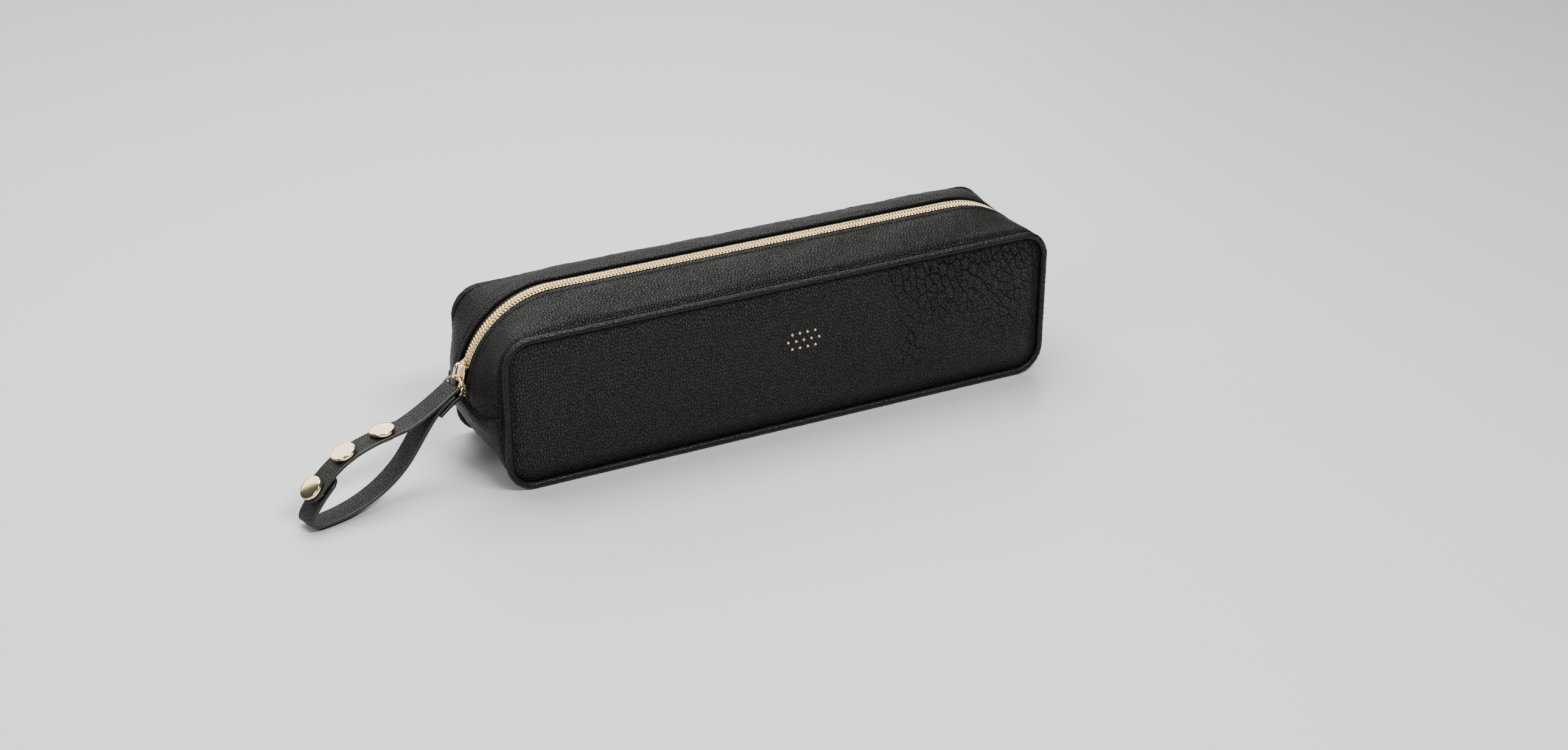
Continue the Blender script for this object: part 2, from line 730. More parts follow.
BOARD = fibre_board("base_board_fibre")
FOAM = foam("padding_foam")
PANEL_LEATHER = leather(
    "panel_leather", cell=1.62, depth=0.55, base=(0.0140, 0.0131, 0.0124), stretch=(0.86, 1.3),
    rough=(0.32, 0.55), fine=0.2, specular=0.55,
    creases=dict(scale=0.32, u_range=(170.0, 235.0), v_range=(8.0, 30.0)))
GUSSET_LEATHER = leather("gusset_leather", cell=1.55, depth=0.30, stretch=(1.05, 1.0),
                         specular=0.30, coat=0.05)
LOWER_LEATHER = leather("lower_gusset_leather", cell=1.5, depth=0.26, specular=0.34, coat=0.06)
PIPING_LEATHER = leather("piping_leather", cell=1.35, depth=0.16, stretch=(0.75, 1.3),
                         rough=(0.30, 0.48), valley=0.28)
STRAP_LEATHER = leather("strap_leather", cell=1.4, depth=0.30, base=(0.0175, 0.0165, 0.0158),
                        stretch=(1.15, 0.95), valley=0.45)
EDGE_PAINT = painted_edge("strap_edge_paint")
LINING = woven("lining_weave", (0.030, 0.030, 0.032))
TAPE = woven("zip_tape_weave", (0.010, 0.010, 0.010), rough=0.9, sheen=0.1)
COIL_GOLD = metal("coil_gold", (0.86, 0.69, 0.40), rough=0.24, grain=0.01)
SLIDER_GOLD = metal("slider_gold", (0.93, 0.74, 0.53), rough=0.13)
RING_GOLD = metal("ring_gold", (0.94, 0.70, 0.47), rough=0.12)
CAP_GOLD = metal("cap_gold", (0.96, 0.76, 0.50), rough=0.10, grain=0.004, smudge=0.05)
CAP_BACK_GOLD = metal("cap_back_gold", (0.90, 0.74, 0.56), rough=0.2)
STUD_GOLD = metal("stud_gold", (0.92, 0.74, 0.44), rough=0.16)


# ---------------------------------------------------------------- panels
def panel_inset(x, z):
    """Distance inward from the panel's rounded edge, x and z from its centre."""
    qx = np.abs(x) - (PANEL_X - PANEL_CORNER)
    qz = np.abs(z) - (PANEL_Z - PANEL_CORNER)
    outside = np.hypot(np.maximum(qx, 0), np.maximum(qz, 0))
    inset = PANEL_CORNER - (outside + np.minimum(np.maximum(qx, qz), 0))
    return np.maximum(inset, 0)


def panel_waves(side):
    """Broad, medium and fine waves of a panel's padding."""
    seed = 11 if side == "front" else 21
    return (WaveField(seed, 55), WaveField(seed + 1, 17, stretch=(0.7, 1.6)),
            WaveField(13, 7, stretch=(0.6, 2.2)))


def panel_rise(x, z, waves):
    """How far the padded leather stands out: a groove by the piping, a crown and soft waves."""
    inset = panel_inset(x, z)
    pad = 3.0 * smooth(-1.5, 10.5, inset) ** 0.8
    crown = 1.9 * (1 - (np.abs(x) / PANEL_X) ** 4) * (1 - (np.abs(z) / PANEL_Z) ** 2)
    broad, medium, fine = waves
    soft = 0.38 * broad(x, z) + 0.15 * medium(x, z) + 0.05 * fine(x, z)
    return -2.35 + pad + crown + smooth(1.5, 14, inset) * soft


def panel(side, sign):
    thickness = 1.3
    x, z = rounded_grid(PANEL_X, PANEL_Z, PANEL_CORNER, step=0.72)
    waves = panel_waves(side)
    _, medium, fine = waves
    rise = panel_rise(x, z, waves)
    fade = smooth(1.0, 5.0, panel_inset(x, z))
    # pebbling, and a net of shallow creases on the right as seen from outside
    warp_x, warp_z = x + 0.5 * fine(z, x), z + 0.5 * fine(x + 40, z)
    rise = rise + fade * 0.07 * pebbles(warp_x, warp_z, 4.2, seed=5, stretch=(0.85, 1.35))
    patches = smooth(-0.3, 0.7, WaveField(15, 34)(x, z)) * smooth(45, 75, -sign * x)
    patches = patches * smooth(-32, -12, z)
    net = cell_depth(warp_x + 1.2 * medium(z, x), warp_z + 1.2 * medium(x, z), 5.5, seed=6,
                     stretch=(1.2, 0.8))
    rise = rise - fade * patches * 0.24 * (1 - smooth(0.0, 0.22, net))
    outer = y_span(side + "_panel")[1] + rise
    origin = (PANEL_X, PANEL_Z)
    ob = slab(side + "_panel_leather", sign, x, z, outer, outer - thickness, PANEL_LEATHER,
              origin)
    register(ob, "case_leather", side + "_panel", ride="case")

    # padding on every fourth grid line
    i, j = (np.unique(np.append(np.arange(0, n, 4), n - 1)) for n in x.shape)
    coarse = np.ix_(i, j)
    pad_y = y_span(side + "_panel_foam")[0]
    pad_outer = np.maximum(outer[coarse] - 1.5, pad_y + 0.2)
    ob = slab(side + "_panel_padding", sign, x[coarse] * 0.994, z[coarse] * 0.98, pad_outer,
              np.full_like(pad_outer, pad_y), FOAM, origin)
    register(ob, "padding", side + "_panel_foam", ride="case")


def panel_lining(side, sign):
    lo, hi = box_mm(side + "_lining")
    inner, outer = y_span(side + "_lining")
    half_x, half_z = hi[0] - 0.2, (hi[2] - lo[2]) / 2 - 0.2
    x, z = rounded_grid(half_x, half_z, radius=11.0, step=3.0)
    edge = np.minimum(half_x - np.abs(x), half_z - np.abs(z))
    ripple = WaveField(71 + sign, 26)(x, z)
    puff = 0.5 * smooth(0, 10, edge) + 0.12 * ripple * smooth(0, 8, edge)
    ob = slab(side + "_panel_lining", sign, x, z, inner - puff, outer - 0.02 + 0 * x, LINING)
    register(ob, "lining", side + "_lining", ride="case")


# ---------------------------------------------------------------- piping
def piping_path(step):
    """Centre line round the panel and its outward directions, in x and z."""
    half_x, half_z = HALF_LENGTH - PIPE_R, HEIGHT / 2 - PIPE_R
    r = CORNER_R - PIPE_R
    points, outs = [], []
    for x_sign, z_sign, start in ((1, 1, 0), (-1, 1, 90), (-1, -1, 180), (1, -1, 270)):
        centre = np.array([x_sign * (half_x - r), z_sign * (half_z - r)])
        spans = int(r * math.pi / 2 / step)
        for i in range(spans):
            angle = math.radians(start + 90 * i / spans)
            out = np.array([math.cos(angle), math.sin(angle)])
            points.append(centre + r * out)
            outs.append(out)
        angle = math.radians(start + 90)
        out = np.array([math.cos(angle), math.sin(angle)])
        heading = np.array([-math.sin(angle), math.cos(angle)])
        length = 2 * (half_x - r) if start in (0, 180) else 2 * (half_z - r)
        spans = int(length / step)
        for i in range(spans):
            points.append(centre + r * out + heading * length * i / spans)
            outs.append(out)
    return np.array(points), np.array(outs)


def piping(side, sign):
    points, outs = piping_path(0.6)
    angles = np.arange(20) / 20 * 2 * math.pi
    uv = uv_grid(path_lengths(points), angles * PIPE_R)
    along, around = uv[..., 0], uv[..., 1]
    back = sign > 0
    fine = WaveField(31 + back, 1.9, 16, (1, 3.0))
    medium = WaveField(33 + back, 3.4, 14, (1, 4.0))
    broad = WaveField(35, 40, 8)
    wrinkle = (0.065 * fine(along, around) + 0.055 * medium(along, around)) \
        * (0.6 if back else 1.0)
    radius = PIPE_R * (0.99 + 0.012 * broad(along, around)) + wrinkle
    out, across = np.cos(angles) * radius, np.sin(angles) * radius
    rings = np.stack([points[:, 0:1] + outs[:, 0:1] * out, sign * PIPE_Y + sign * across,
                      points[:, 1:2] + outs[:, 1:2] * out + HEIGHT / 2], -1)
    rings[..., 2] = np.maximum(rings[..., 2], 0.0)
    ob = make_mesh(side + "_piping_roll", tube(rings, uv, closed=True), [PIPING_LEATHER])
    register(ob, "piping_leather", side + "_piping", side + "_piping_cord", ride="case")


# ---------------------------------------------------------------- zip gussets
ZIP_ROWS = zip_rows(0.8, under=0.13)
AWAY_FROM_SEAM = (33.5, 27)                    # |y| over which the soft waves fade in


def bend_with_flap(ob, side):
    """Blend from the case at the flap's ends to the flap itself in the middle."""
    x = np.abs(vertex_coords(ob)[:, 0]) * 1000
    weights = 1 - smooth(42.0, FLAP_X - 2, x)
    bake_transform(ob, "case", side + "_flap", (-FLAP_X * MM, 0, ZIP_TOP * MM), (0, 0, ZIP_TOP * MM))
    ob.data.attributes["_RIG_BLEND"].data.foreach_set("value", weights.astype(np.float32))


def seam_dip(y):
    """Depth of a gusset's outer face where it turns down into the piping seam."""
    return 1.5 * float(smooth(30.6, 33.9, abs(y))) ** 1.6 + 1.3 * max(0.0, abs(y) - 33.9)


def puckers(path, y, field):
    """Small gathers along the piping seam."""
    y = np.abs(y)
    return 0.10 * smooth(33.9, 32.2, y) * smooth(26, 31, y) * field(path, y_signed(y, path))


def seam_window(y):
    y = np.abs(y)
    return smooth(33.9, 32.2, y) * smooth(26, 31, y)


def lip_depth(y):
    """Depth of the zip gusset's outer face at distance y from the middle, lip at y = 5."""
    depth = seam_dip(y)
    # stitch groove, then the raised lip
    depth += 0.24 * math.exp(-((y - 8.55) / 0.28) ** 2)
    depth -= 0.30 * float(smooth(8.5, 7.3, y)) * float(smooth(5.0, 6.0, y) * 0.6 + 0.4)
    inward, radius = y - 5.0, 0.9
    if inward < radius:
        # rounded edge of the lip
        drop = math.sqrt(max(0.81 - (radius - inward) ** 2, 0))
        depth += radius - drop - 0.12
    return depth


# inner face of the zip gusset: distance from the middle, depth
GUSSET_INNER = [(5.06, 1.35), (5.4, 1.75), (6.4, 1.75), (9, 1.6), (13, 1.55), (18, 1.55),
                (23, 1.55), (28, 1.6), (31.5, 1.9), (33.5, 2.6)]


def zip_gusset(side, sign):
    lip = 5.0 if sign < 0 else 7.4             # the lip's distance from the middle
    outer_y = [34.9, 34.4, 33.9, 33.6, 33.2, 32.6, 31.9]
    outer_y += list(np.arange(31.1, 9.7, -0.8))
    outer_y += [9.3, 9.0, 8.6, 8.3, 8.0, 7.6, 7.1, 6.6, 6.1, 5.7, 5.4, 5.2, 5.08, 5.02]
    section = [(y, lip_depth(y)) for y in outer_y] + GUSSET_INNER
    profile = [(sign * (y + (lip - 5.0) * float(smooth(16, 9, y))), d) for y, d in section]
    on_outer = np.arange(len(profile)) < len(outer_y)
    broad, medium = WaveField(41 + sign, 48), WaveField(43 + sign, 16)
    fine = WaveField(45 + sign, 5.5, 16, (1.0, 2.0))

    def displace(row, y):
        u, dist = row.path, np.abs(y)
        window = smooth(*AWAY_FROM_SEAM, dist) * smooth(8.0, 13, dist)
        height = window * (0.42 * broad(u, y) + 0.13 * medium(u, y))
        pebbled = np.where(on_outer, smooth(33.5, 31, dist) * smooth(9.5, 12, dist), 0)
        height = height + pebbled * 0.12 * pebbles(u + 0 * y, y, 2.3, seed=7)
        height = height + 0.10 * seam_window(y) * fine(u, y)
        # slight wander of the lip
        wander = sign * 0.12 * math.sin(u / 9.0 + sign) * smooth(12, 6, dist)
        return wander, height

    ob = sweep_strip(side + "_zip_gusset", ZIP_ROWS, profile, GUSSET_LEATHER, displace)
    register(ob, "case_leather", side + "_gusset_ends", side + "_gusset_top")
    bend_with_flap(ob, side)


def zip_lining(side, sign):
    ys = (31.2, 28, 24, 20, 16, 13, 11, 9.6)
    profile = [(sign * y, 2.75) for y in ys] + [(sign * 9.3, 3.05)]
    profile += [(sign * y, 3.35) for y in reversed(ys)]
    ripple = WaveField(47 + sign, 22)
    ob = sweep_strip(side + "_zip_lining", zip_rows(3.0, under=0), profile, LINING,
                     lambda row, y: (0, 0.10 * ripple(row.path, y)))
    register(ob, "lining", side + "_gusset_end_linings", side + "_gusset_top_lining")
    bend_with_flap(ob, side)


# ---------------------------------------------------------------- zip coils and tapes
def zip_line(s):
    """Point and outward normal of the zip's centre line. s in mm from the -X seam."""
    arc = END_R * math.pi / 2
    first = np.clip(s / END_R, None, math.pi / 2)
    last = np.clip((s - arc - 2 * END_X) / END_R, 0, None)
    on_first, on_last = s < arc, s > arc + 2 * END_X
    x = np.where(on_first, -END_X - END_R * np.cos(first),
                 np.where(on_last, END_X + END_R * np.sin(last), -END_X + s - arc))
    z = np.where(on_first, SEAM_Z + END_R * np.sin(first),
                 np.where(on_last, SEAM_Z + END_R * np.cos(last), ZIP_TOP))
    normal_x = np.where(on_first, -np.cos(first), np.where(on_last, np.sin(last), 0.0))
    normal_z = np.where(on_first, np.sin(first), np.where(on_last, np.cos(last), 1.0))
    return np.stack([x, 0 * x, z], -1), np.stack([normal_x, 0 * x, normal_z], -1)


def splay(s):
    """How far each coil stands off the middle below the slider."""
    slider_s = SLIDER_ANGLE * END_R
    return 1.7 * np.clip((slider_s - 3.0 - s) / 10.0, 0, 1) ** 1.2


def coil(side, sign):
    """A spiral strand, flattened in section, that reaches just past the middle."""
    pitch, start, end = 1.9, 1.2, ZIP_LENGTH - 1.0
    centre_y, reach = 1.62, 1.78
    per_loop, around = ((18, 9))
    loops = int((end - start) / pitch)
    turn = np.arange(loops * per_loop + 1) / per_loop * 2 * math.pi
    cos, sin = np.cos(turn), np.sin(turn)
    out = np.sign(cos) * np.abs(cos) ** 0.8
    from_middle = centre_y + reach * out
    slant = 0.95 * (out * 0.9 + 0.1)
    s = start + pitch * turn / (2 * math.pi) + (pitch / 2 if sign > 0 else 0)
    s = s + slant * np.where(sin > 0, 1.0, 0.35) - 0.25
    height = -0.72 + 0.34 * np.sign(sin) * np.abs(sin) ** 0.7 + 0.10 * (1 - out ** 2) * (sin > 0)
    points, normals = zip_line(s)
    centres = points + normals * height[:, None]
    centres[:, 1] += sign * (from_middle + splay(s))

    heading = unit(np.gradient(centres, axis=0))
    up = normals - heading * (normals * heading).sum(1, keepdims=True)
    up = up / np.maximum(np.linalg.norm(up, axis=1, keepdims=True), 1e-6)
    beside = np.cross(heading, up)
    # the strand is wider on top, near the middle
    top = np.clip(sin, 0, 1)
    edge = np.clip((from_middle - 0.15) / 1.3, 0, 1)
    half_width = 0.43 + 0.30 * top * np.sin(edge * math.pi * 0.62)
    half_height = 0.40 + 0.02 * top
    angles = np.arange(around) / around * 2 * math.pi
    rings = centres[:, None, :] \
        + np.cos(angles)[None, :, None] * half_width[:, None, None] * beside[:, None, :] \
        + np.sin(angles)[None, :, None] * half_height[:, None, None] * up[:, None, :]
    ob = make_mesh(side + "_zip_coil", tube(rings, uv_grid(s, angles)), [COIL_GOLD])
    register(ob, "zip_coil", side + "_coil_ends", side + "_coil_top")
    bend_with_flap(ob, side)


def zip_tape(side, sign):
    ys = (0.12, 1.5, 3.2, 4.6, 6.0, 9.0, 11.8)
    profile = [(sign * y, 1.55) for y in ys] + [(sign * y, 2.1) for y in reversed(ys)]

    def displace(row, y):
        spread = 0.0 if row.mirrored else float(splay(row.path))
        y = np.abs(y)
        # the tape dips beside the coil and tucks under the leather
        dip = -0.15 * smooth(3.4, 4.6, y) - 0.1 * smooth(6, 9, y)
        return sign * spread * smooth(9, 1, y), dip

    ob = sweep_strip(side + "_zip_tape", ZIP_ROWS, profile, TAPE, displace)
    register(ob, "zip_tape", side + "_tape_ends", side + "_tape_top")
    bend_with_flap(ob, side)


# ---------------------------------------------------------------- lower gusset
HEM_RISE = (16, 3.5)                           # distance from the hem's edge, mm


def lower_gusset():
    half = [34.9, 34.4, 33.9, 33.6, 33.2, 32.6, 31.8, 30.8, 29.2, 27]
    half += list(np.arange(24, -0.1, -2.4))
    outer_y = sorted(half + [-y for y in half if y > 0.01])
    inner_y = sorted([-33.4, -31.5, 31.5, 33.4, *np.arange(-28, 28.1, 4.0)], reverse=True)
    profile = [(y, seam_dip(y)) for y in outer_y]
    profile += [(y, 1.5 + 0.9 * float(smooth(29, 33.4, abs(y)))) for y in inner_y]
    on_outer = np.arange(len(profile)) < len(outer_y)
    broad, medium = WaveField(61, 42), WaveField(62, 14)
    fine = WaveField(63, 5.5, 16, (1.0, 2.0))

    def displace(row, y):
        if row.region == "flat":
            return 0, 0
        t, u, dist = row.t, row.path, np.abs(y)
        edge = (1 - t) * LOW_LENGTH            # distance from the folded edge
        soft = smooth(*AWAY_FROM_SEAM, dist) * (0.5 * broad(u, y) + 0.16 * medium(u, y))
        soft = soft * smooth(0.02, 0.25, t) + 0.10 * seam_window(y) * fine(u, y)
        # the folded hem stands proud of the zip gusset, with a rounded edge and a groove
        hem = 1.55 * smooth(*HEM_RISE, edge) * smooth(33.9, 32.0, dist)
        if edge < 1.3:
            hem = hem - (1.0 - math.sqrt(max(0.0, 1 - ((1.3 - edge) / 1.3) ** 2))) * 1.5
        hem = hem - 0.28 * math.exp(-((edge - 3.1) / 0.55) ** 2) * smooth(33.9, 32.5, dist)
        inner = 1.35 * smooth(*HEM_RISE, edge)
        if row.mirrored:                       # pressed flatter at the +X end
            hem, inner = hem * 0.5, inner * 0.5
        if t < 0.08:
            soft = soft * (t / 0.08)
        return 0, np.where(on_outer, np.maximum(soft, -0.6 * t) + hem, inner)

    ob = sweep_strip("lower_gusset_leather", lower_rows(1.4), profile,
                     LOWER_LEATHER, displace)
    # the hem sags between the zip and the piping
    coords = vertex_coords(ob)
    z, dist = coords[:, 2] * 1000, np.abs(coords[:, 1]) * 1000
    sag = 3.8 * np.sin(np.clip((dist - 3.0) / 30.0, 0, 1) ** 1.15 * math.pi) ** 1.2
    coords[:, 2] -= sag * smooth(22, 42, z) * MM
    set_above_floor(ob, coords)
    register(ob, "case_leather", "lower_gusset", ride="case")


def lower_lining():
    half = 31.4
    profile = [(y, 3.5) for y in np.linspace(-half, half, 17)]
    profile += [(y, 4.2) for y in np.linspace(half, -half, 17)]
    ripple = WaveField(64, 30)
    rows = [r for r in lower_rows(3.0) if not (r.region == "low" and r.t > 0.992)]
    ob = sweep_strip("lower_lining_cloth", rows, profile, LINING,
                     lambda row, y: (0, (-0.12 + 0.10 * ripple(row.path, y))
                                     * smooth(half, 26, np.abs(y))))
    register(ob, "lining", "lower_lining", ride="case")


# ---------------------------------------------------------------- strap
# Strap frame: u along the strap towards -X, v up, w across its width, origin on the ring's bar.
BAR = np.array(JOINTS["strap_swing"]["pos_m"], float) * 1000
APEX = np.array(JOINTS["ring_swing"]["pos_m"], float) * 1000
W_AXIS = unit(np.array(JOINTS["strap_swing"]["axis"], float))
U_AXIS = unit(np.cross(np.array([0, 0, 1.0]), W_AXIS))
if U_AXIS[0] > 0:
    U_AXIS = -U_AXIS
V_AXIS = np.cross(W_AXIS, U_AXIS)
STRAP_FRAME = axes(U_AXIS, V_AXIS, W_AXIS, BAR)

STRAP_T, STRAP_W = 2.0, 14.0
FACE = STRAP_T / 2                             # the strap's faces, from its centre line
FOLD_R = 1.08 + FACE                           # centre line of the fold round the bar
LAP = STRAP_T + 1.8                            # between the two bands' centre lines
TAIL = 14.6                                    # length folded back under the bar
BAND_STEP = 0.55
ROOT_ANGLE = math.radians(-26)
ROOT_ALONG = np.array([math.cos(ROOT_ANGLE), math.sin(ROOT_ANGLE)])
ROOT_UP = np.array([-math.sin(ROOT_ANGLE), math.cos(ROOT_ANGLE)])


def bezier(ctrl, t):
    t = np.asarray(t, float)[..., None]
    p0, p1, p2, p3 = np.array(ctrl, float)
    return (1 - t) ** 3 * p0 + 3 * (1 - t) ** 2 * t * p1 + 3 * (1 - t) * t * t * p2 + t ** 3 * p3


def bezier_heading(ctrl, t):
    t = np.asarray(t, float)[..., None]
    p0, p1, p2, p3 = np.array(ctrl, float)
    return unit(3 * (1 - t) ** 2 * (p1 - p0) + 6 * (1 - t) * t * (p2 - p1)
                + 3 * t * t * (p3 - p2))


def left_of(heading):
    """The direction a quarter turn anticlockwise."""
    return np.stack([-heading[..., 1], heading[..., 0]], -1)


def bezier_offset(ctrl, t, distance):
    return bezier(ctrl, t) + distance * left_of(bezier_heading(ctrl, t))


# Bezier control points (u, v) of the upper band, from the bar to its tip
UPPER_START = [FOLD_R * ROOT_UP, FOLD_R * ROOT_UP + 9 * ROOT_ALONG, [19.3, -7.2], [30, -10]]
UPPER_MIDDLE = [[30, -10], [42, -11], [56, -11.6], [67, -16.5]]
UPPER_END = [[67, -16.5], [75, -20.1], [83, -26.4], [89, -33.2]]
# and of the lower band, from under that tip back to the bar
TIP = bezier_offset(UPPER_END, 1.0, -LAP)
ROOT = 10.3 * ROOT_ALONG
LOWER_TURN = [TIP, TIP + 7 * bezier_heading(UPPER_END, 1.0), [94, -45.4], [82, -45.4]]
LOWER_MIDDLE = [[82, -45.4], [62, -45.4], [45, -38.8], [33.5, -28.6]]
LOWER_END = [[33.5, -28.6], [26.5, -22.4], ROOT + 8 * ROOT_ALONG, ROOT]


def bezier_run(*curves):
    return [bezier(ctrl, np.linspace(0, 1, 200))[1:] for ctrl in curves]


def upper_path():
    back = np.linspace(1, 0.005, 28)[:, None]
    tail = -(FOLD_R + 0.9 * back ** 2) * ROOT_UP + TAIL * back * ROOT_ALONG
    angle = ROOT_ANGLE + 1.5 * math.pi - np.linspace(0, math.pi, 40)
    fold = FOLD_R * np.stack([np.cos(angle), np.sin(angle)], -1)
    return np.concatenate([tail, fold, *bezier_run(UPPER_START, UPPER_MIDDLE, UPPER_END)])


def lower_path_points():
    return np.concatenate([bezier_offset(UPPER_END, np.linspace(0.3, 1, 100), -LAP),
                           *bezier_run(LOWER_TURN, LOWER_MIDDLE, LOWER_END),
                           ROOT + (-np.linspace(0.1, 7.9, 20))[:, None] * ROOT_ALONG])


def resample(path):
    s = path_lengths(path)
    even = np.linspace(0, s[-1], max(2, int(round(s[-1] / BAND_STEP))) + 1)
    return np.stack([np.interp(even, s, path[:, i]) for i in (0, 1)], -1), even


def band(name, path, round_start, seed):
    """A flat band with full painted edges, one end rounded in outline."""
    points, s = resample(path)
    normals = left_of(unit(np.gradient(points, axis=0)))
    radius = STRAP_W / 2
    from_end = s if round_start else s[-1] - s
    outline = np.sqrt(np.maximum(radius ** 2 - np.maximum(radius - from_end, 0) ** 2, 0.0))
    half_width = np.maximum(np.minimum(radius, outline), 0.6)

    # edge section: bulge past the flat face and height, with a faint line at mid thickness
    edge_radius = 0.55
    degrees = np.linspace(90, -90, 11)[1:-1]
    bulge = np.cos(np.radians(degrees)) * (1.0 - 0.13 * np.exp(-(degrees / 9.0) ** 2))
    bulge = bulge * edge_radius
    sines = np.sin(np.radians(degrees))
    level = np.sign(sines) * np.abs(sines) ** 0.8

    widths = np.linspace(-1, 1, 15)[None, :]
    inner = np.maximum(half_width - edge_radius, 0.05)[:, None]
    along, across = s[:, None], inner * widths
    medium, fine = WaveField(seed, 12), WaveField(seed + 1, 5)

    def face(medium_shift, fine_shift):
        return FACE + 0.10 * (1 - widths ** 2) - 0.10 \
            + 0.03 * medium(along + medium_shift, across) \
            + 0.015 * fine(along + fine_shift, across)

    edge_height = np.broadcast_to(level * (FACE - 0.04), (len(s), len(level)))
    height = np.concatenate([face(0, 0), edge_height, -face(300, 90)[:, ::-1],
                             edge_height[:, ::-1]], 1)
    sideways = np.concatenate([across, inner + bulge, across[:, ::-1],
                               -(inner + bulge)[:, ::-1]], 1)
    edge_v = inner + 3 * (1 - level)
    uv_v = np.concatenate([across, edge_v, across[:, ::-1] + 40, -edge_v[:, ::-1]], 1)
    rings = np.stack([points[:, 0:1] + height * normals[:, 0:1],
                      points[:, 1:2] + height * normals[:, 1:2], sideways], -1)
    uvs = np.stack(np.broadcast_arrays(along, uv_v), -1)

    n_face, n_edge = widths.size, len(level)
    painted = np.zeros(2 * (n_face + n_edge), np.int32)
    painted[n_face - 1:n_face + n_edge] = 1
    painted[2 * n_face + n_edge - 1:] = 1
    index = list(np.tile(painted, len(rings) - 1)) + [1, 1]
    ob = make_mesh(name, place(tube(rings, uvs), STRAP_FRAME), [STRAP_LEATHER, EDGE_PAINT],
                   index)
    set_above_floor(ob, vertex_coords(ob))
    return ob


def upper_band():
    path = upper_path()
    ob = band("strap_upper_band", path, round_start=False, seed=81)
    register(ob, "strap_leather", "strap_upper", "strap_fold")
    bend_start, bend_end = ((BAR + U_AXIS * u + V_AXIS * v) * MM
                            for u, v in (7.5 * ROOT_ALONG, (34, -10.4)))
    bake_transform(ob, "strap_lower", "strap_upper", tuple(bend_start), tuple(bend_end))
    # the tail and the fold stay with the lower band
    weights = np.zeros(len(ob.data.vertices), np.float32)
    values = ob.data.attributes["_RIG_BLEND"].data
    values.foreach_get("value", weights)
    per_ring = len(weights) // len(resample(path)[1])
    weights[:len(resample(path[:66])[1]) * per_ring] = 0
    values.foreach_set("value", weights)


def lower_band():
    ob = band("strap_lower_band", lower_path_points(), round_start=True, seed=91)
    register(ob, "strap_leather", "strap_lower", ride="strap_lower")


# ---------------------------------------------------------------- snaps
def strap_place(ctrl, t, distance=0.0):
    """Frame on the strap: x along it, z away from the loop."""
    heading = bezier_heading(ctrl, t)
    origin = bezier_offset(ctrl, t, distance)
    x = np.array([*heading, 0])
    z = np.array([*left_of(heading), 0])
    return STRAP_FRAME @ axes(x, np.cross(z, x), z, [*origin, 0])


def shifted(profile, base):
    return [(r, base + z) for r, z in profile]


SNAP_PLACES = ((UPPER_MIDDLE, 0.33), (UPPER_MIDDLE, 0.93), (UPPER_END, 0.74))
# (radius, height) from the strap face they stand on
CAP_UNDERSIDE = [(0, 0.5), (2.4, 0.5), (2.4, 0.05), (3.2, 0.05), (3.6, 0.45), (5.6, 0.5),
                 (6.15, 0.42), (6.42, 0.5), (6.56, 0.68), (6.62, 0.95)]
SOCKET_WEB = [(1.95, -0.05), (4.9, -0.05), (4.9, -0.42), (3.55, -0.48), (3.3, -1.35),
              (2.95, -1.4), (2.75, -0.55), (1.95, -0.5)]
STUD = [(0, -0.2), (2.2, -0.2), (4.5, -0.02), (4.6, 0.06), (4.4, 0.14), (2.1, 0.16),
        (1.75, 0.35), (1.95, 0.72), (1.8, 0.95), (1.2, 1.02), (0, 1.02)]
WASHER = [(0, -0.05), (4.5, -0.05), (4.85, -0.25), (4.8, -0.5), (4.3, -0.62), (1.4, -0.66),
          (0.9, -0.45), (0, -0.42)]


def cap_profile():
    """A thin shell rolled over at the rim, with a soft crown."""
    radius, height, shoulder, roll = 6.63, 2.85, 2.85 - 0.85, 0.62
    profile = CAP_UNDERSIDE + [(radius, z) for z in np.linspace(1.2, shoulder, 4)]
    for angle in np.radians(np.linspace(0, 78, 8)[1:]):
        profile.append((radius - roll * (1 - math.cos(angle)), shoulder + roll * math.sin(angle)))
    for r in (5.4, 4.6, 3.6, 2.4, 1.2, 0):
        profile.append((r, height - 0.02 - 0.15 * (r / 6.1) ** 2.2))
    return shifted(profile, FACE)


def snaps():
    cap = lathe(cap_profile(), 72)
    post = lathe([(0, -FACE - 0.55), (1.5, -FACE - 0.55), (1.75, -FACE - 0.35),
                  (1.75, FACE + 0.5), (0, FACE + 0.5)], 28)
    rolled_rim = turned_ring([(4.95 + 0.62 * math.cos(a), -FACE - 0.72 + 0.62 * math.sin(a))
                              for a in np.radians(np.linspace(-90, 270, 17)[:-1])])
    web = turned_ring(shifted(SOCKET_WEB, -FACE))
    places = [strap_place(ctrl, t) for ctrl, t in SNAP_PLACES]
    caps = merge([place(part, at) for at in places for part in (cap, post)])
    sockets = merge([place(part, at) for at in places for part in (rolled_rim, web)])
    under = strap_place(UPPER_END, 0.74, -LAP)
    stud = place(lathe(shifted(STUD, FACE), 40), under)
    washer = place(lathe(shifted(WASHER, -FACE), 48), under)
    for name, part, material, node, ride in (
            ("snap_cap_set", caps, CAP_GOLD, "snap_caps", "strap_upper"),
            ("snap_socket_set", sockets, CAP_BACK_GOLD, "snap_sockets", "strap_upper"),
            ("snap_stud_part", stud, CAP_BACK_GOLD, "snap_stud", "strap_lower"),
            ("snap_washer", washer, CAP_BACK_GOLD, "snap_stud_washer", "strap_lower")):
        register(make_mesh(name, part, [material]), "snap_metal", node, ride=ride)


